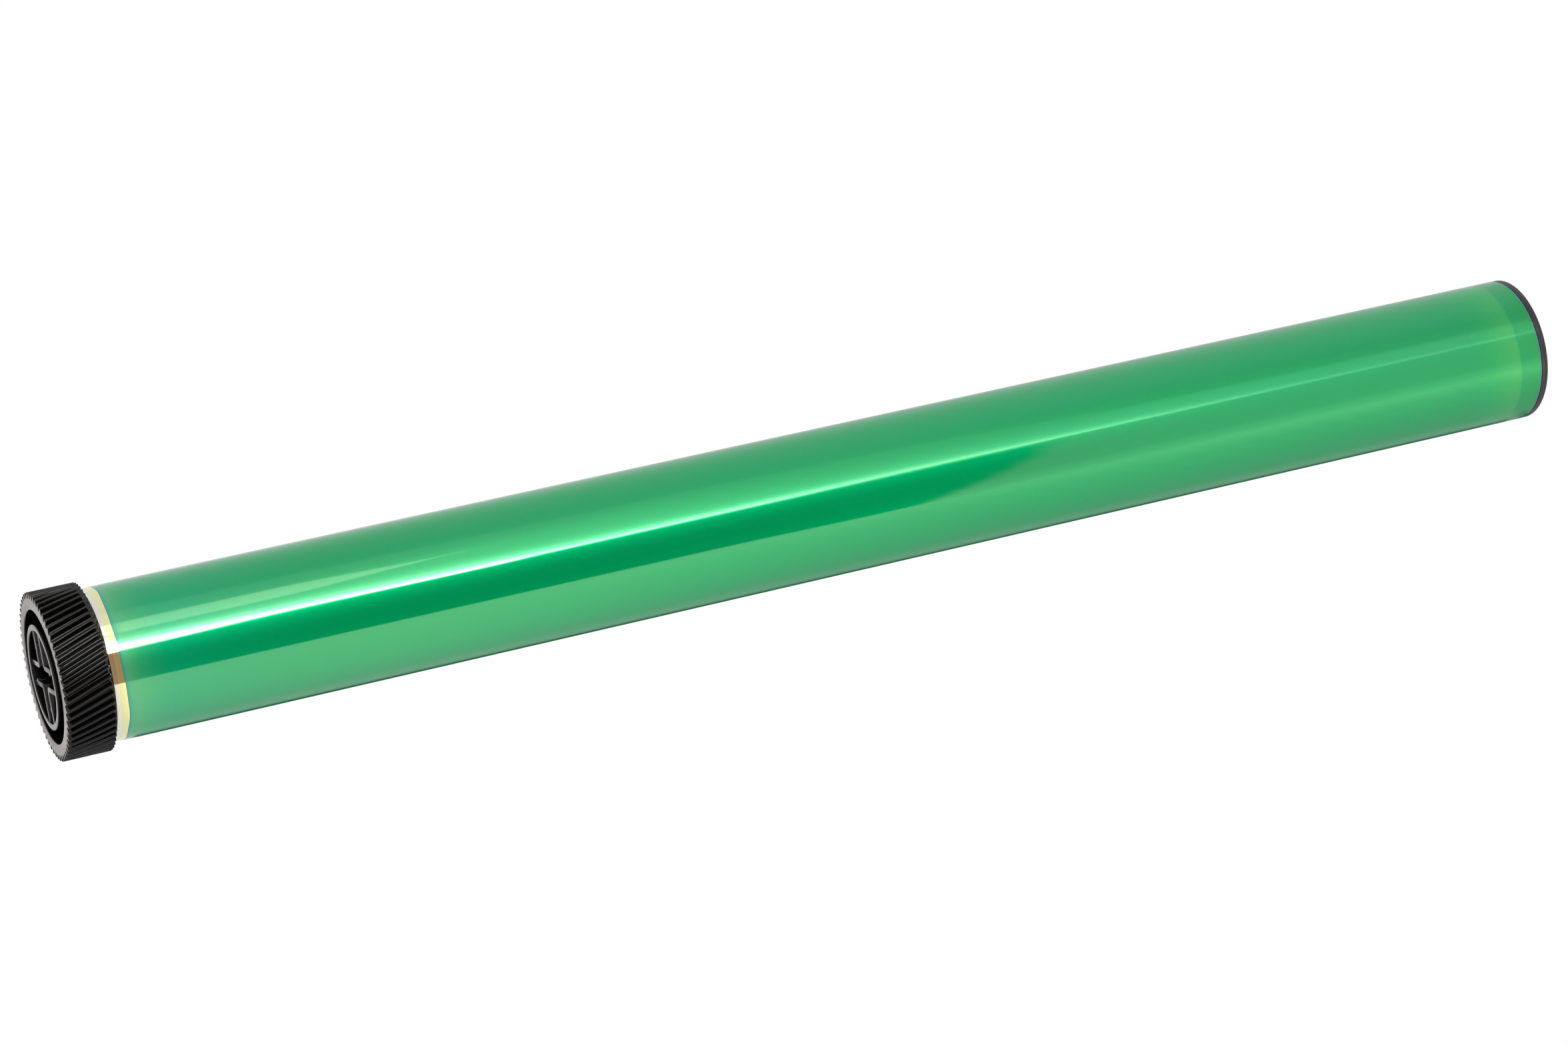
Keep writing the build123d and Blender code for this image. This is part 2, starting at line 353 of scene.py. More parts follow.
# %% Lay out the points of the ring
# The circles of points lie close together where the coat and the bands mirror them.
ring_height = 0.5
azimuth_steps = 900
foot_circles = np.linspace(15.2, 40, 6)
coat_circles = np.linspace(50, 1490, 90)
band_circles = np.linspace(1500, 1600, 11)
far_circles = np.geomspace(1700, 30000, 12)
distances = np.concatenate([foot_circles, coat_circles, band_circles, far_circles])
azimuths = np.linspace(-180, 180, azimuth_steps, endpoint=False)
turn_grid, reach_grid = np.meshgrid(azimuths, distances)
points = np.stack([reach_grid * np.cos(np.radians(turn_grid)), reach_grid * np.sin(np.radians(turn_grid)),
                   np.full_like(turn_grid, ring_height)], axis=-1).reshape(-1, 3)
print("ring:", len(distances), "circles of", azimuth_steps, "points")

# %% Find the direction that each point is mirrored from
# The tube mirrors at its surface and not at its axis, so this direction is a little off the one that the
# point lies in. Each round starts from the last direction and comes closer.
parallax_rounds = 6
camera_azimuth = degrees(atan2(camera_place.y, camera_place.x))
direction = turn_grid
for _ in range(parallax_rounds):
    lean = np.sin(np.radians((camera_azimuth - direction) / 2)) * coat_radius / reach_grid
    direction = turn_grid - np.degrees(np.arcsin(lean))

# %% Build the ring of mirrored light
radiance, in_gap = mirrored_light(direction, reach_grid)
inside_room = 1 - smooth(room_end, room_end + room_end_blur, reach_grid)
warmth = np.interp(direction, *zip(*warm_azimuths)) * inside_room
card_colour = 1 - warmth[..., None] * (1 - warm_white)
light_colour = radiance[..., None] * card_colour + in_gap[..., None] * gap_brown
corner = np.arange(len(distances) * azimuth_steps).reshape(len(distances), azimuth_steps)
beside = np.roll(corner, -1, axis=1)
faces = np.stack([corner[:-1], corner[1:], beside[1:], beside[:-1]], axis=-1).reshape(-1, 4)
mirror_ring = mesh_object("mirrored_room", points, faces.tolist())
values = mirror_ring.data.attributes.new("light_colour", "FLOAT_VECTOR", "POINT")
values.data.foreach_set("vector", light_colour.astype(np.float32).ravel())

ring_material, tree = new_material("mirrored_room_light")
field = add(tree, "ShaderNodeAttribute", attribute_name="light_colour")
glow = add(tree, "ShaderNodeEmission", {"Color": field.outputs["Color"]})
add(tree, "ShaderNodeOutputMaterial", {"Surface": glow.outputs["Emission"]})
ring_material.cycles.emission_sampling = "NONE"
mirror_ring.data.materials.append(ring_material)
print("mirrored room:", len(points), "points, radiance up to", round(float(radiance.max()), 1))

# %% [markdown]
# The flat front of the gear looks straight up, so it mirrors what stands behind the drum and not the ring. It
# shows pale grey in the photograph although it is black plastic, because a smooth surface seen at a low angle
# mirrors much of the light. One large card, slightly warm, gives it that.

# %% Stand a card behind the gear
card_bottom, card_top = 340, 1500
card_warm_white, card_strength = (1.0, 0.95, 0.93, 1.0), 1.15
card = mesh_object(
    "card_behind_gear",
    [(-1500, 1500, card_bottom), (-1800, -1500, card_bottom),
     (-1800, -1500, card_top), (-1500, 1500, card_top)],
    [(0, 1, 2, 3)],
)
card_material, tree = new_material("warm_card_light")
glow = add(tree, "ShaderNodeEmission", {"Color": card_warm_white, "Strength": card_strength})
add(tree, "ShaderNodeOutputMaterial", {"Surface": glow.outputs["Emission"]})
card_material.cycles.emission_sampling = "NONE"
card.data.materials.append(card_material)

for staged in (mirror_ring, card):
    staged.visible_camera = False
    staged.visible_diffuse = False
    staged.visible_shadow = False
    staged.visible_transmission = False
print("only reflections see", mirror_ring.name, "and", card.name)

# %% [markdown]
# ## Soft light
#
# The world gives most of the light. One large softbox hangs on the side that is up in the picture, and a
# weaker one fills from below, so that a colour on a surface that faces the camera renders about as it is
# written.

# %% Hang the softboxes
def softbox(name, place, side_mm, radiance_level):
    """A square area lamp that looks at the middle of the drum. It isn't mirrored."""
    data = bpy.data.lights.new(name, "AREA")
    data.shape = "SQUARE"
    data.size = side_mm * MM
    data.energy = radiance_level * pi * (side_mm * MM) ** 2
    lamp = bpy.data.objects.new(name, data)
    bpy.context.scene.collection.objects.link(lamp)
    lamp.location = Vector(place) * MM
    lamp.rotation_mode = "QUATERNION"
    lamp.rotation_quaternion = (camera_aim - lamp.location).to_track_quat("-Z", "Y")
    lamp.visible_glossy = False
    print(name, side_mm, "mm wide, radiance", radiance_level)


softbox("softbox_above", (900, 1500, 900), 1400, 1.8)
softbox("softbox_below", (900, -1650, 700), 1200, 1.5)

# %% [markdown]
# ## Sleeve
#
# The sleeve is a tube, so it is made as a potter makes one: an outline of radius and height, turned about the
# axis. The coat is dipped on and then wiped off the gear end, and the wiped edge is never quite straight. The
# rows of points at that edge therefore follow a slow wave. Three finishes meet there, and each gets its own
# faces, so the edge stays sharp however close the camera comes.

# %% Turn an outline into a mesh
def turn(outline, segments, lift=None):
    """Points and faces of a closed outline of (radius, height), turned. lift moves a row along the axis."""
    angles = [2 * pi * k / segments for k in range(segments)]
    points = []
    for row, (radius, height) in enumerate(outline):
        for a in angles:
            rise = lift(row, a) if lift else 0.0
            points.append((radius * cos(a), radius * sin(a), height + rise))
    faces = []
    for row in range(len(outline)):
        above = (row + 1) % len(outline)
        for k in range(segments):
            n = (k + 1) % segments
            faces.append((row * segments + k, row * segments + n, above * segments + n, above * segments + k))
    return points, faces


# %% Lay out the sleeve
sleeve_segments = 320
bore_radius = 14.0
bare_radius = 14.97
under_layer_radius = 14.985
bare_band = 1.35
under_layer_band = 1.3
edge_break = 0.25
gear_end_break = 0.45
under_layer_top = sleeve_top - bare_band
coat_top = under_layer_top - under_layer_band
coat_rows = 24
under_layer_wave = 0.3


def wiped_edge(angle):
    """How far the wiped edge of the coat wanders along the axis, in mm: three waves of different length."""
    return 0.10 * sin(3 * angle + 0.4) + 0.07 * sin(7 * angle + 2.0) + 0.04 * sin(13 * angle)


coat_heights = np.linspace(sleeve_bottom + edge_break, coat_top, coat_rows)
outline = [(bore_radius, sleeve_bottom + edge_break), (bore_radius + edge_break, sleeve_bottom),
           (coat_radius - edge_break, sleeve_bottom)]
outline += [(coat_radius, float(h)) for h in coat_heights]
coat_last = len(outline) - 1
outline += [(under_layer_radius, coat_top), (under_layer_radius, under_layer_top),
            (bare_radius, under_layer_top), (bare_radius, sleeve_top - gear_end_break),
            (bare_radius - gear_end_break, sleeve_top), (bore_radius + edge_break, sleeve_top),
            (bore_radius, sleeve_top - edge_break)]


def sleeve_lift(row, angle):
    """The coat's edge follows the wave, and the edge of the under-layer a weaker one, turned a little."""
    if row in (coat_last, coat_last + 1):
        return wiped_edge(angle)
    if row in (coat_last + 2, coat_last + 3):
        return under_layer_wave * wiped_edge(angle + 1.0)
    return 0.0


# %% Build the sleeve
# Every point keeps its distance from the wiped edge, which the colours of the coat need later.
points, faces = turn(outline, sleeve_segments, sleeve_lift)
sleeve = mesh_object("photoconductor_sleeve", points, faces)
from_edge = []
for row in range(len(outline)):
    for k in range(sleeve_segments):
        p = points[row * sleeve_segments + k]
        from_edge.append(coat_top + wiped_edge(2 * pi * k / sleeve_segments) - p[2])
values = sleeve.data.attributes.new("mm_from_wiped_edge", "FLOAT", "POINT")
values.data.foreach_set("value", from_edge)
print("sleeve mesh:", len(points), "points")

# %% [markdown]
# ## Three finishes on one tube
#
# Anodised or painted metal is the wrong model for the coat. It is a clear plastic film over a green pigment
# layer, on aluminium that was turned on a lathe with a diamond tool. The film mirrors like lacquer, with the
# usual index of refraction of 1.5. The pigment gives the even green. The turned metal below adds a green
# glint, which the fine rings of the tool stretch along the axis.
#
# One roughness can't describe that glint. It has a sharp middle, where the light passes the pigment almost
# straight, and a wide haze, where the pigment scatters it. Two Principled shaders are therefore mixed that
# differ only in roughness and stretch. The rings of the tool are too fine to be seen in a picture of the
# whole drum, so they are drawn coarser and very shallow.
#
# In the photograph the colour changes a little towards both ends, probably because the film is thinner where
# it was wiped and uneven where it drained after the dip. It is set from stops, each a distance in mm and a
# colour.

# %% Colours of the green coat
coat_material, tree = new_material("organic_photoconductor_coat")
on_object = object_mm(tree)
axes = add(tree, "ShaderNodeSeparateXYZ", {0: on_object})
edge = add(tree, "ShaderNodeAttribute", attribute_name="mm_from_wiped_edge")

coat_green = "00AE69"
edge_stops_mm = ((0.0, "1C7C8C"), (0.16, "3FB59B"), (0.8, "55BF88"), (1.5, "4FBD81"), (3.0, "3AB97B"),
                 (6.0, "1FB477"), (9.0, "06B177"), (20.0, "00AF6F"), (40.0, coat_green))
foot_stops_mm = ((0.0, "9CCBE0"), (0.25, "9CCBE0"), (0.3, "3A86A8"), (0.38, "3A86A8"), (0.55, "08AB5B"),
                 (2.0, "04AB60"), (4.9, "00AC66"), (5.4, "33B868"), (6.4, "35B968"), (12.6, "0AB268"),
                 (16.0, coat_green))


def coat_ramp(distance, stops_mm):
    """Colour of the coat by its distance from one end of the tube."""
    reach = stops_mm[-1][0]
    share = add(tree, "ShaderNodeMapRange", {"Value": distance, "From Max": reach})
    node = add(tree, "ShaderNodeValToRGB", {"Fac": share.outputs["Result"]})
    elements = node.color_ramp.elements
    while len(elements) < len(stops_mm):
        elements.new(0.5)
    for element, (mm, code) in zip(elements, stops_mm):
        element.position = mm / reach
        element.color = colour(code)
    return node.outputs["Color"]


from_foot = add(tree, "ShaderNodeMath", {0: axes.outputs["Z"], 1: sleeve_bottom}, operation="SUBTRACT")
by_edge = coat_ramp(edge.outputs["Fac"], edge_stops_mm)
by_foot = coat_ramp(from_foot.outputs[0], foot_stops_mm)
nearer_gear = add(tree, "ShaderNodeMath", {0: axes.outputs["Z"], 1: sleeve_top / 2}, operation="GREATER_THAN")
body = add(tree, "ShaderNodeMix", {0: nearer_gear.outputs[0], 6: by_foot, 7: by_edge}, data_type="RGBA")
print("coat colours:", len(edge_stops_mm), "stops at the gear end and", len(foot_stops_mm), "at the foot")

# %% Fine rings of the lathe tool
# At a scale of 1 the wave texture repeats every pi / 10 units.
wave_length = pi / 10
tool_pitch_mm = 0.4
ring_depth_mm = 0.0025
rings = add(tree, "ShaderNodeTexWave",
            {"Vector": on_object, "Scale": wave_length / tool_pitch_mm, "Distortion": 0.35,
             "Detail": 1.0, "Detail Scale": 0.3}, wave_type="BANDS", bands_direction="Z")
ring_bump = add(tree, "ShaderNodeBump",
                {"Height": rings.outputs["Fac"], "Strength": 1.0, "Distance": ring_depth_mm * MM})
around = add(tree, "ShaderNodeTangent", direction_type="RADIAL", axis="Z")

# %% Sharp and hazy glint under the clear film
# Each of the two has a roughness and a stretch along the axis.
metal_share = 0.5
hazy_share = 0.7
layers = []
for roughness, stretch in ((0.17, 0.9), (0.46, 0.4)):
    layers.append(add(tree, "ShaderNodeBsdfPrincipled", {
        "Base Color": body.outputs[2], "Metallic": metal_share, "Roughness": roughness,
        "Specular IOR Level": 0.0, "Specular Tint": colour("90C4BC"),
        "Anisotropic": stretch, "Anisotropic Rotation": 0.25,
        "Tangent": around.outputs["Tangent"], "Normal": ring_bump.outputs["Normal"],
        "Coat Weight": 1.0, "Coat Roughness": 0.03, "Coat IOR": 1.5}))
shader = add(tree, "ShaderNodeMixShader",
             {"Fac": hazy_share, 1: layers[0].outputs["BSDF"], 2: layers[1].outputs["BSDF"]})
add(tree, "ShaderNodeOutputMaterial", {"Surface": shader.outputs["Shader"]})
print("coat:", len(tree.nodes), "nodes")

# %% [markdown]
# Where the green ends, a pale yellow layer shows that lies under it, and past that the bare aluminium. The
# yellow layer is taken to be so thin that the metal shines through, so it is mostly metallic with a thin
# clear coat. The bare metal keeps the default index of refraction and takes its colour from the base colour
# alone. Both show the rings of the lathe tool as a slight change of colour from ring to ring, drawn coarser
# than the real ones. One small function makes that colour for both.

# %% Change of colour from ring to ring
colour_ring_mm = 0.26


def lathe_tint(tree, dark, pale):
    """A colour that goes back and forth between two near ones along the axis."""
    rings = add(tree, "ShaderNodeTexWave", {"Vector": object_mm(tree), "Scale": wave_length / colour_ring_mm},
                wave_type="BANDS", bands_direction="Z")
    tint = add(tree, "ShaderNodeMix", {"Factor": rings.outputs["Fac"], 6: colour(dark), 7: colour(pale)},
               data_type="RGBA")
    return tint.outputs[2]


# %% Pale yellow under-layer
under_material, tree = new_material("pale_under_layer")
around = add(tree, "ShaderNodeTangent", direction_type="RADIAL", axis="Z")
shader = add(tree, "ShaderNodeBsdfPrincipled", {
    "Base Color": lathe_tint(tree, "E5E3A6", "EEEBB6"), "Metallic": 0.85, "Roughness": 0.05,
    "Anisotropic": 0.3, "Anisotropic Rotation": 0.25, "Tangent": around.outputs["Tangent"],
    "Coat Weight": 0.4, "Coat Roughness": 0.08, "Coat IOR": 1.5})
add(tree, "ShaderNodeOutputMaterial", {"Surface": shader.outputs["BSDF"]})

# %% Turned aluminium
bare_material, tree = new_material("turned_aluminium")
around = add(tree, "ShaderNodeTangent", direction_type="RADIAL", axis="Z")
shader = add(tree, "ShaderNodeBsdfPrincipled", {
    "Base Color": lathe_tint(tree, "DFDDD6", "ECEAE3"), "Metallic": 1.0, "Roughness": 0.05,
    "Anisotropic": 0.3, "Anisotropic Rotation": 0.25, "Tangent": around.outputs["Tangent"]})
add(tree, "ShaderNodeOutputMaterial", {"Surface": shader.outputs["BSDF"]})

# %% Put each finish on its faces
# The rows are counted along the outline: coat, under-layer, and bare metal for all the others.
sleeve_crease = radians(30)
for material in (coat_material, under_material, bare_material):
    sleeve.data.materials.append(material)
finish_of_row = {}
for row in range(len(outline)):
    if 2 <= row <= coat_last:
        finish_of_row[row] = 0
    elif row in (coat_last + 1, coat_last + 2):
        finish_of_row[row] = 1
    else:
        finish_of_row[row] = 2
for face in sleeve.data.polygons:
    face.material_index = finish_of_row[face.index // sleeve_segments]
sleeve.data.shade_smooth()
sleeve.data.set_sharp_from_angle(angle=sleeve_crease)
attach(sleeve, "root")
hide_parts("drum_tube")
print("sleeve finishes:", [m.name for m in sleeve.data.materials])

# %% [markdown]
# ## Black gear flange
#
# The gear is one moulding. Its sixty small teeth could be cut with a boolean for each, but a gear is easier
# to build from loops: one loop of points that follows all the teeth, repeated up the face with a little turn
# each time, gives the helix. Every other circle on the flange has as many points as that loop, so the whole
# body closes without a single boolean, and small roundings catch the light along the edges of the teeth and
# of the rims.

# %% Gear sizes
gear_teeth = 60
normal_module = 0.5
helix = radians(20)
pressure = radians(20)
gear_width = 9.4
tooth_thinning = 0.04
tooth_clocking = 1.8
gear_face = sleeve_top + gear_width
transverse_module = normal_module / cos(helix)
transverse_pressure = atan(tan(pressure) / cos(helix))
pitch_radius = gear_teeth * transverse_module / 2
base_radius = pitch_radius * cos(transverse_pressure)
root_modules = 1.25
root_radius = pitch_radius - root_modules * normal_module
tooth_step = 360 / gear_teeth
gear_twist = degrees(gear_width * tan(helix) / pitch_radius)
tip_rounding = 0.09
root_rounding = 0.13
edge_rounding = 0.13
flank_point_drop = 0.15

# A small rounding has one point between its ends, at these shares of its length and of its depth.
round_along, round_down = 0.35, 0.3
print("pitch radius", round(pitch_radius, 3), "mm, twist over the face", round(gear_twist, 2), "degrees")


def involute(radius):
    """Polar angle, in degrees, from the start of an involute to its point at a radius."""
    at = acos(min(1.0, base_radius / radius))
    return degrees(tan(at) - at)


def half_tooth(radius):
    """Half the angle that one tooth fills at a radius."""
    at_pitch = tooth_step / 4 - degrees(tooth_thinning / 2 / pitch_radius)
    return at_pitch + involute(pitch_radius) - involute(radius)


# %% Draw the loop of teeth
def half_flank():
    """(half angle, radius) down one side of a tooth, from the middle of its tip to the middle of its root."""
    tip, root = gear_tip_radius, root_radius
    corner = degrees(tip_rounding / tip)
    foot = degrees(root_rounding / root)
    return [
        (0.0, tip),
        (half_tooth(tip) - corner, tip),
        (half_tooth(tip) - round_along * corner, tip - round_down * tip_rounding),
        (half_tooth(tip - tip_rounding), tip - tip_rounding),
        (half_tooth((tip + pitch_radius) / 2), (tip + pitch_radius) / 2),
        (half_tooth(pitch_radius - flank_point_drop), pitch_radius - flank_point_drop),
        (half_tooth(root + root_rounding), root + root_rounding),
        (half_tooth(root) + round_along * foot, root + round_down * root_rounding),
        (tooth_step / 2, root),
    ]


flank = half_flank()
tooth = [(-a, r) for a, r in reversed(flank[:-1])] + flank[1:]
loop_angles = np.array([k * tooth_step + a for k in range(gear_teeth) for a, r in tooth])
loop_radii = np.array([r for k in range(gear_teeth) for a, r in tooth])
loop_size = len(loop_angles)
print("one loop of teeth has", loop_size, "points")


def teeth_loop(height, inset=0.0):
    """The loop of teeth at a height, turned with the helix and moved inwards by an inset."""
    turned_by = tooth_clocking - gear_twist * (height - sleeve_top) / gear_width
    a = np.radians(loop_angles + turned_by)
    flat = np.stack([loop_radii * np.cos(a), loop_radii * np.sin(a)], axis=1)
    if inset:
        along = np.roll(flat, -1, axis=0) - np.roll(flat, 1, axis=0)
        along /= np.linalg.norm(along, axis=1)[:, None]
        flat = flat - inset * np.stack([along[:, 1], -along[:, 0]], axis=1)
    return np.column_stack([flat, np.full(loop_size, height)])


def circle_loop(radius, height, at_top=True):
    """A circle with as many points as the loop of teeth, in line with its top or its bottom."""
    turned_by = tooth_clocking - (gear_twist if at_top else 0.0)
    a = np.radians(loop_angles + turned_by)
    return np.column_stack([radius * np.cos(a), radius * np.sin(a), np.full(loop_size, height)])


# %% Round a corner of an outline
def rounded(corners, radius_of, steps=3):
    """An open outline of (radius, height) with its inner corners rounded. radius_of gives one per corner."""
    path = [corners[0]]
    for before, here, after, r in zip(corners, corners[1:], corners[2:], radius_of):
        b, h, n = (np.array(p, float) for p in (before, here, after))
        if r == 0:
            path.append(here)
            continue
        u, w = (b - h) / np.linalg.norm(b - h), (n - h) / np.linalg.norm(n - h)
        for k in range(steps + 1):
            t = k / steps
            q = h + r * ((1 - t) ** 2 * u + t ** 2 * w)
            path.append((float(q[0]), float(q[1])))
    path.append(corners[-1])
    return path


# %% Sizes of the flange's body
recess_radius = 13.1
web_thickness = 1.8
hub_radius = 10.3
hub_wall = 1.17
socket_depth = 13.4
socket_floor = 1.5
spigot_radius = 13.95
spigot_wall = 1.55
spigot_lead_in = 0.4
moulded_edge = 0.16
recess_corner = 0.25
socket_corner = 0.2
hidden_corner = 0.1
rim_step = 0.25
cap_radius = 0.5
tooth_rows = 11
web_top = sleeve_top + web_thickness
socket_bottom = gear_face - socket_depth
socket_underside = socket_bottom - socket_floor
hub_inner_radius = hub_radius - hub_wall
spigot_inner_radius = spigot_radius - spigot_wall

# %% Build the turned body of the flange
top_outline = rounded(
    [(root_radius - rim_step, gear_face), (recess_radius, gear_face), (recess_radius, web_top),
     (hub_radius, web_top), (hub_radius, hub_top), (hub_inner_radius, hub_top),
     (hub_inner_radius, socket_bottom), (cap_radius, socket_bottom)],
    (moulded_edge, recess_corner, recess_corner, moulded_edge, moulded_edge, socket_corner))
bottom_outline = rounded(
    [(root_radius - rim_step, sleeve_top), (spigot_radius, sleeve_top),
     (spigot_radius, gear_bottom + spigot_lead_in), (spigot_radius - spigot_lead_in, gear_bottom),
     (spigot_inner_radius, gear_bottom), (spigot_inner_radius, sleeve_top), (hub_radius, sleeve_top),
     (hub_radius, socket_underside), (cap_radius, socket_underside)],
    (hidden_corner, 0, 0, hidden_corner, hidden_corner, hidden_corner, hidden_corner))

loops = [circle_loop(r, z, at_top=False) for r, z in reversed(bottom_outline)]
loops.append(teeth_loop(sleeve_top, edge_rounding))
for height in np.linspace(sleeve_top + edge_rounding, gear_face - edge_rounding, tooth_rows):
    loops.append(teeth_loop(float(height)))
loops.append(teeth_loop(gear_face, edge_rounding))
loops += [circle_loop(r, z) for r, z in top_outline]
points = [tuple(p) for loop in loops for p in loop]
faces = []
for row in range(len(loops) - 1):
    for k in range(loop_size):
        n = (k + 1) % loop_size
        low, high = row * loop_size, (row + 1) * loop_size
        faces.append((low + k, low + n, high + n, high + k))
faces.append(tuple(range(loop_size - 1, -1, -1)))
faces.append(tuple(range((len(loops) - 1) * loop_size, len(loops) * loop_size)))
print("gear body:", len(points), "points,", len(loops), "loops")

# %% [markdown]
# Inside the hub, four L-shaped walls leave a cross between them for the printer's drive coupling. A small
# half-round crush rib in each arm takes up the play. One wall is drawn as a flat outline, lifted with a
# rounded top edge, and copied at the four quarter turns.

# %% Outline of one socket wall
channel_half = 1.5
channel_wall = 1.05
channel_wall_drop = 0.2
channel_corner = 1.3
pocket_corner = 0.3
rib_radius = 0.6
rib_height = 0.45
rib_place = 6.1
corner_steps, pocket_steps, rib_steps = 8, 4, 10
hub_middle_radius = hub_radius - hub_wall / 2


def arc(centre, radius, start, end, steps):
    """Points of an arc, from a start angle to an end angle in degrees."""
    return [(centre[0] + radius * cos(radians(start + (end - start) * k / steps)),
             centre[1] + radius * sin(radians(start + (end - start) * k / steps))) for k in range(steps + 1)]


def socket_wall_outline():
    """Counter-clockwise outline of the wall in the first quarter, with its crush rib on the +X arm."""
    inner, outer = channel_half, channel_half + channel_wall
    reach_inner = sqrt(hub_middle_radius ** 2 - inner ** 2)
    reach_outer = sqrt(hub_middle_radius ** 2 - outer ** 2)
    rib_centre = (rib_place, inner + rib_radius - rib_height)
    dip = degrees(acos((rib_radius - rib_height) / rib_radius))
    corner = arc((inner + channel_corner, inner + channel_corner), channel_corner, 270, 180, corner_steps)
    pocket = arc((outer + pocket_corner, outer + pocket_corner), pocket_corner, 180, 270, pocket_steps)
    rib = arc(rib_centre, rib_radius, 270 + dip, 270 - dip, rib_steps)
    path = [(reach_inner, inner)] + rib + corner + [(inner, reach_inner), (outer, reach_outer)]
    path += pocket + [(reach_outer, outer)]
    return path[::-1]


def inset_loop(loop, inset):
    """A closed flat loop moved to its inside by an inset."""
    flat = np.array(loop, float)
    before, after = flat - np.roll(flat, 1, axis=0), np.roll(flat, -1, axis=0) - flat
    before /= np.linalg.norm(before, axis=1)[:, None]
    after /= np.linalg.norm(after, axis=1)[:, None]
    inward = np.stack([-(before + after)[:, 1], (before + after)[:, 0]], axis=1)
    inward /= np.linalg.norm(inward, axis=1)[:, None]
    lean = np.clip(np.sum(inward * np.stack([-after[:, 1], after[:, 0]], axis=1), axis=1), 0.5, 1)
    return flat + inward * (inset / lean)[:, None]


# %% Raise the four socket walls
wall_top = hub_top - channel_wall_drop
wall_sunk = 0.5
wall_rounding = 0.13
wall_outline = socket_wall_outline()
wall_rows = [(0.0, socket_bottom - wall_sunk), (0.0, wall_top - wall_rounding),
             (round_down * wall_rounding, wall_top - round_down * wall_rounding), (wall_rounding, wall_top)]
wall_size = len(wall_outline)
for quarter in range(4):
    turn_by = radians(90 * quarter)
    start = len(points)
    for inset, height in wall_rows:
        for x, y in inset_loop(wall_outline, inset):
            points.append((x * cos(turn_by) - y * sin(turn_by), x * sin(turn_by) + y * cos(turn_by), height))
    for row in range(len(wall_rows) - 1):
        for k in range(wall_size):
            n = (k + 1) % wall_size
            low, high = start + row * wall_size, start + (row + 1) * wall_size
            faces.append((low + k, low + n, high + n, high + k))
    faces.append(tuple(start + k for k in range(wall_size - 1, -1, -1)))
    last = start + (len(wall_rows) - 1) * wall_size
    faces.append(tuple(last + k for k in range(wall_size)))

# %% Make the gear flange
gear_crease = radians(42)
gear = mesh_object("helical_gear_flange", points, faces)
gear.data.shade_smooth()
gear.data.set_sharp_from_angle(angle=gear_crease)
print("gear flange:", len(points), "points")

# %% [markdown]
# ## Moulded plastics
#
# The gear is taken to be black acetal, a usual plastic for small gears because it is slippery and tough.
# Fresh from the mould it has a soft gloss, with a fine grain from the steel and patches a few millimetres
# wide where the gloss changes a little. With the default specular level its teeth rendered brighter than
# they are in the photograph, so the level is a little lower. The other flange is a charcoal plastic with less
# gloss. Both keep an index of refraction of about 1.5, as plastics have, which is what lights up their edges
# and flat faces at a low angle.

# %% Black acetal
grain_mm = 0.12
grain_depth_mm = 0.01
patches_per_mm = 0.35
acetal, tree = new_material("black_acetal_moulding")
on_object = object_mm(tree)
grain = add(tree, "ShaderNodeTexNoise", {"Vector": on_object, "Scale": 1 / grain_mm, "Detail": 3.0})
patches = add(tree, "ShaderNodeTexNoise", {"Vector": on_object, "Scale": patches_per_mm, "Detail": 2.0})
rough = add(tree, "ShaderNodeMapRange", {"Value": patches.outputs["Fac"], "To Min": 0.1, "To Max": 0.17})
tint = add(tree, "ShaderNodeMix", {"Factor": grain.outputs["Fac"], 6: colour("080708"), 7: colour("0F0E0F")},
           data_type="RGBA")
bump = add(tree, "ShaderNodeBump",
           {"Height": grain.outputs["Fac"], "Strength": 0.5, "Distance": grain_depth_mm * MM})
shader = add(tree, "ShaderNodeBsdfPrincipled", {
    "Base Color": tint.outputs[2], "Roughness": rough.outputs["Result"], "IOR": 1.48,
    "Specular IOR Level": 0.4, "Normal": bump.outputs["Normal"]})
add(tree, "ShaderNodeOutputMaterial", {"Surface": shader.outputs["BSDF"]})
gear.data.materials.append(acetal)
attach(gear, "root")
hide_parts("drive_gear_flange")
print(gear.name, "is made of", acetal.name)

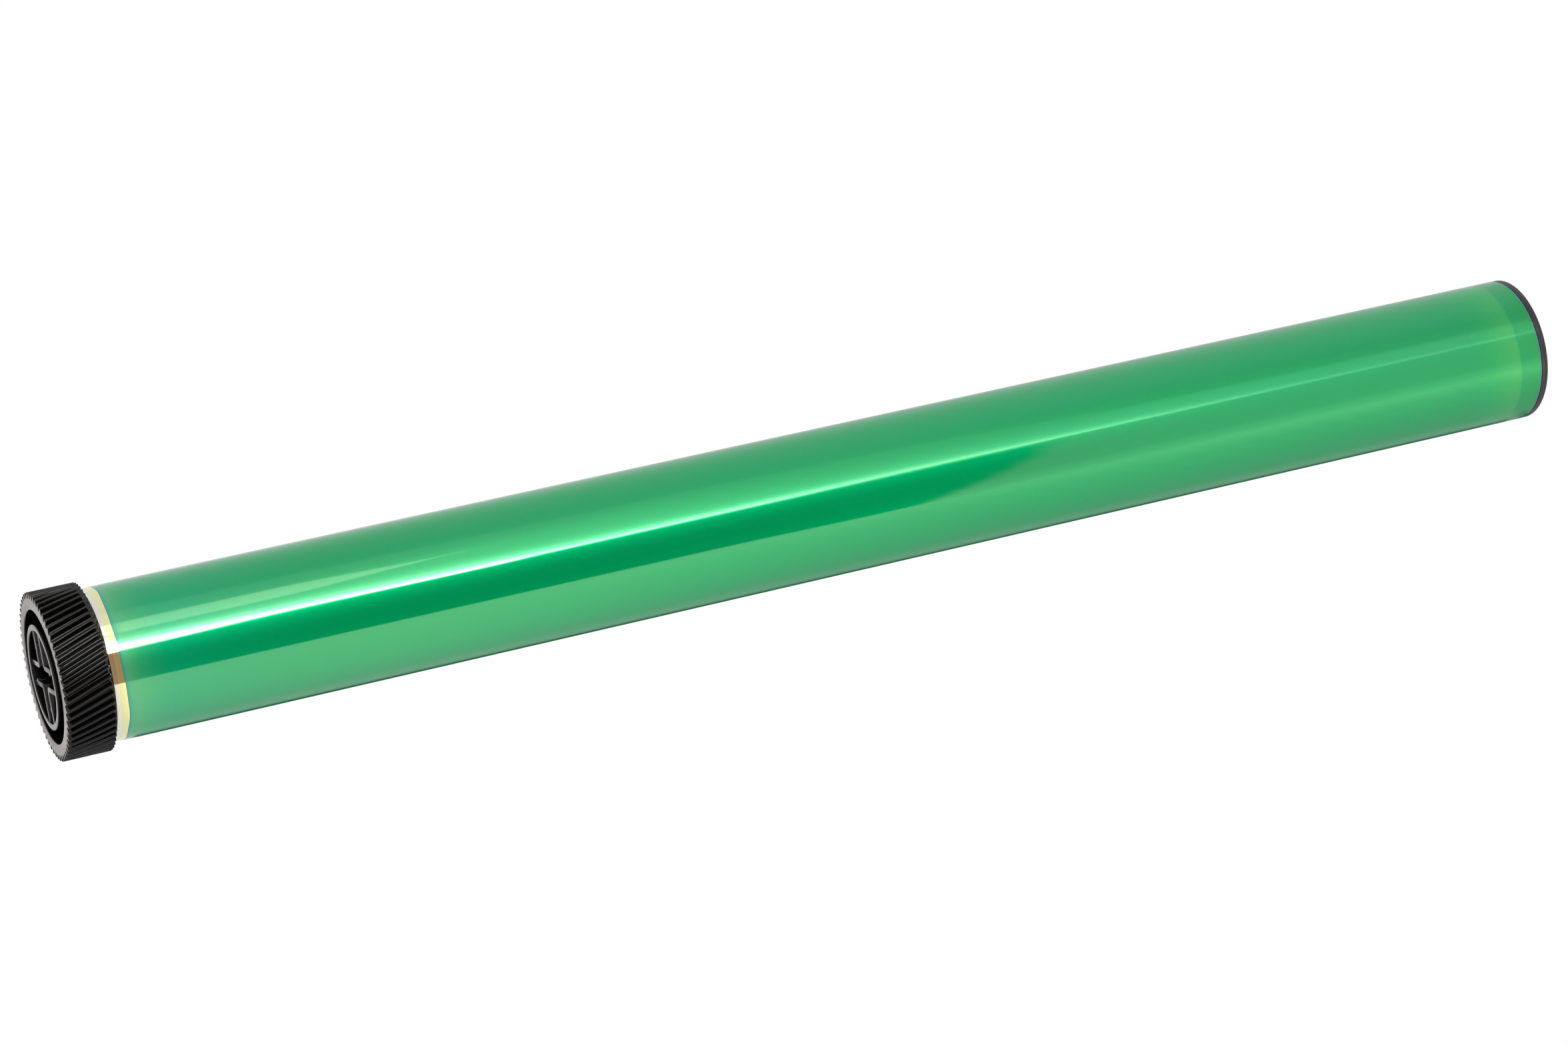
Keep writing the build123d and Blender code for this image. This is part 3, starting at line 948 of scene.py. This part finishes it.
# %% Charcoal plastic
charcoal, tree = new_material("charcoal_polystyrene_moulding")
grain = add(tree, "ShaderNodeTexNoise", {"Vector": object_mm(tree), "Scale": 1 / grain_mm, "Detail": 3.0})
tint = add(tree, "ShaderNodeMix", {"Factor": grain.outputs["Fac"], 6: colour("272523"), 7: colour("302D2B")},
           data_type="RGBA")
bump = add(tree, "ShaderNodeBump",
           {"Height": grain.outputs["Fac"], "Strength": 0.5, "Distance": grain_depth_mm * MM})
shader = add(tree, "ShaderNodeBsdfPrincipled", {
    "Base Color": tint.outputs[2], "Roughness": 0.5, "IOR": 1.55, "Normal": bump.outputs["Normal"]})
add(tree, "ShaderNodeOutputMaterial", {"Surface": shader.outputs["BSDF"]})

# %% [markdown]
# ## Ground plate
#
# A stamped plate on the inner side of the end flange joins the sleeve to the printer's shaft. Such contacts
# are often made of phosphor bronze, because it stays springy after it is bent. Rolled sheet has fine lines
# along one direction, so the grain of its colour is stretched that way.

# %% Phosphor bronze
lines_per_mm = (0.4, 9.0, 9.0)
bronze, tree = new_material("rolled_phosphor_bronze")
stretched = add(tree, "ShaderNodeVectorMath", {0: object_mm(tree), 1: lines_per_mm}, operation="MULTIPLY")
grain = add(tree, "ShaderNodeTexNoise", {"Vector": stretched.outputs["Vector"], "Scale": 1.0, "Detail": 2.0})
tint = add(tree, "ShaderNodeMix", {"Factor": grain.outputs["Fac"], 6: colour("B98A54"), 7: colour("D3A56C")},
           data_type="RGBA")
rough = add(tree, "ShaderNodeMapRange", {"Value": grain.outputs["Fac"], "To Min": 0.25, "To Max": 0.38})
shader = add(tree, "ShaderNodeBsdfPrincipled", {
    "Base Color": tint.outputs[2], "Metallic": 1.0, "Roughness": rough.outputs["Result"]})
add(tree, "ShaderNodeOutputMaterial", {"Surface": shader.outputs["BSDF"]})

# %% [markdown]
# The end flange and the ground plate are already as fine as a camera needs. They keep the mesh of the
# engineering model and only get a material.

# %% Dress the two engineering parts that keep their own mesh
for node, material in (("end_flange", charcoal), ("ground_contact_plate", bronze)):
    mesh = frame["nodes"][node].data
    mesh.materials.clear()
    mesh.materials.append(material)
    print(node, "has", len(mesh.polygons), "faces in", material.name)
